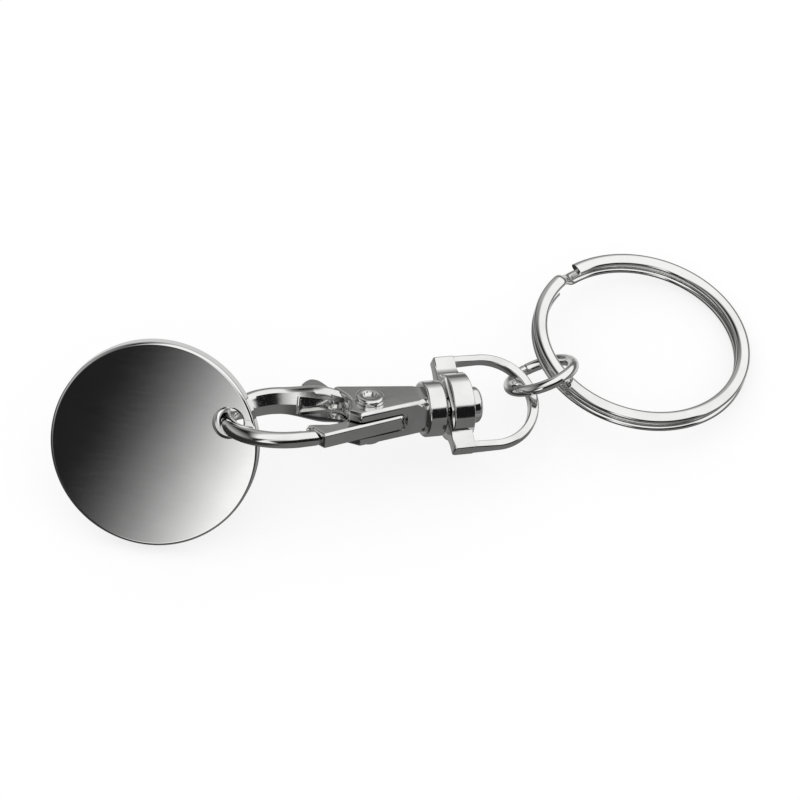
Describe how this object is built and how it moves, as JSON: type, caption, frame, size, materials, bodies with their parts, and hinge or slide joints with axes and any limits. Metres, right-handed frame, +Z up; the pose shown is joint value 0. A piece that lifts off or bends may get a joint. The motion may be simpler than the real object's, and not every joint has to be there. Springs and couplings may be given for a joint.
{
  "type": "coin holder keyring",
  "caption": "Polished trolley token on a swivel snap hook with a sprung gate, a jump ring and a split key ring.",
  "frame": {"origin": "middle of the bounding box's underside, on the surface that the keyring lies on", "axes": "+Z up, +X from the token towards the key ring"},
  "size_m": [0.0786, 0.0388, 0.0188],
  "materials": {
    "token_plate": "mirror polished",
    "cast_nickel": "polished casting",
    "lever_nickel": "polished",
    "rivet_nickel": "polished",
    "spring_steel": "drawn wire",
    "wire_nickel": "polished wire",
    "key_ring_nickel": "polished flat wire"
  },
  "bodies": {
    "clasp": {"clasp_body": "cast_nickel", "lever_rivet": "rivet_nickel", "lever_spring": "spring_steel", "swivel_rivet": "rivet_nickel"},
    "lever": {"lever": "lever_nickel"},
    "eye": {"swivel_eye": "cast_nickel"},
    "token": {"token": "token_plate"},
    "jump_ring": {"jump_ring": "wire_nickel"},
    "key_ring": {"split_ring": "key_ring_nickel"}
  },
  "joints": [
    {"name": "lever_hinge", "type": "hinge", "parent": "clasp", "child": "lever", "pos_m": [-0.00406, -0.00776, 0.0097], "axis": [-0.0804, -0.4227, -0.9027], "range_deg": [0, 38], "stiffness_Nm_per_rad": 0.01, "springref_deg": -17.19, "deforming": ["lever_spring"]},
    {"name": "eye_swivel", "type": "hinge", "parent": "clasp", "child": "eye", "pos_m": [0.00396, -0.00525, 0.00781], "axis": [0.9501, 0.2413, -0.1977], "continuous": true},
    {"name": "token_swing", "type": "hinge", "parent": "clasp", "child": "token", "pos_m": [-0.01966, -0.00994, 0.01211], "axis": [0.1743, -0.7747, 0.6078], "range_deg": [-20, 60]},
    {"name": "jump_ring_swing", "type": "hinge", "parent": "eye", "child": "jump_ring", "pos_m": [0.01357, -0.00074, 0.00604], "axis": [-0.5322, 0.8192, 0.2136], "range_deg": [-90, 90]},
    {"name": "key_ring_swing", "type": "hinge", "parent": "jump_ring", "child": "key_ring", "pos_m": [0.01833, 0.00275, 0.00566], "axis": [0.4427, -0.2893, 0.8487], "range_deg": [-8, 56]}
  ]
}
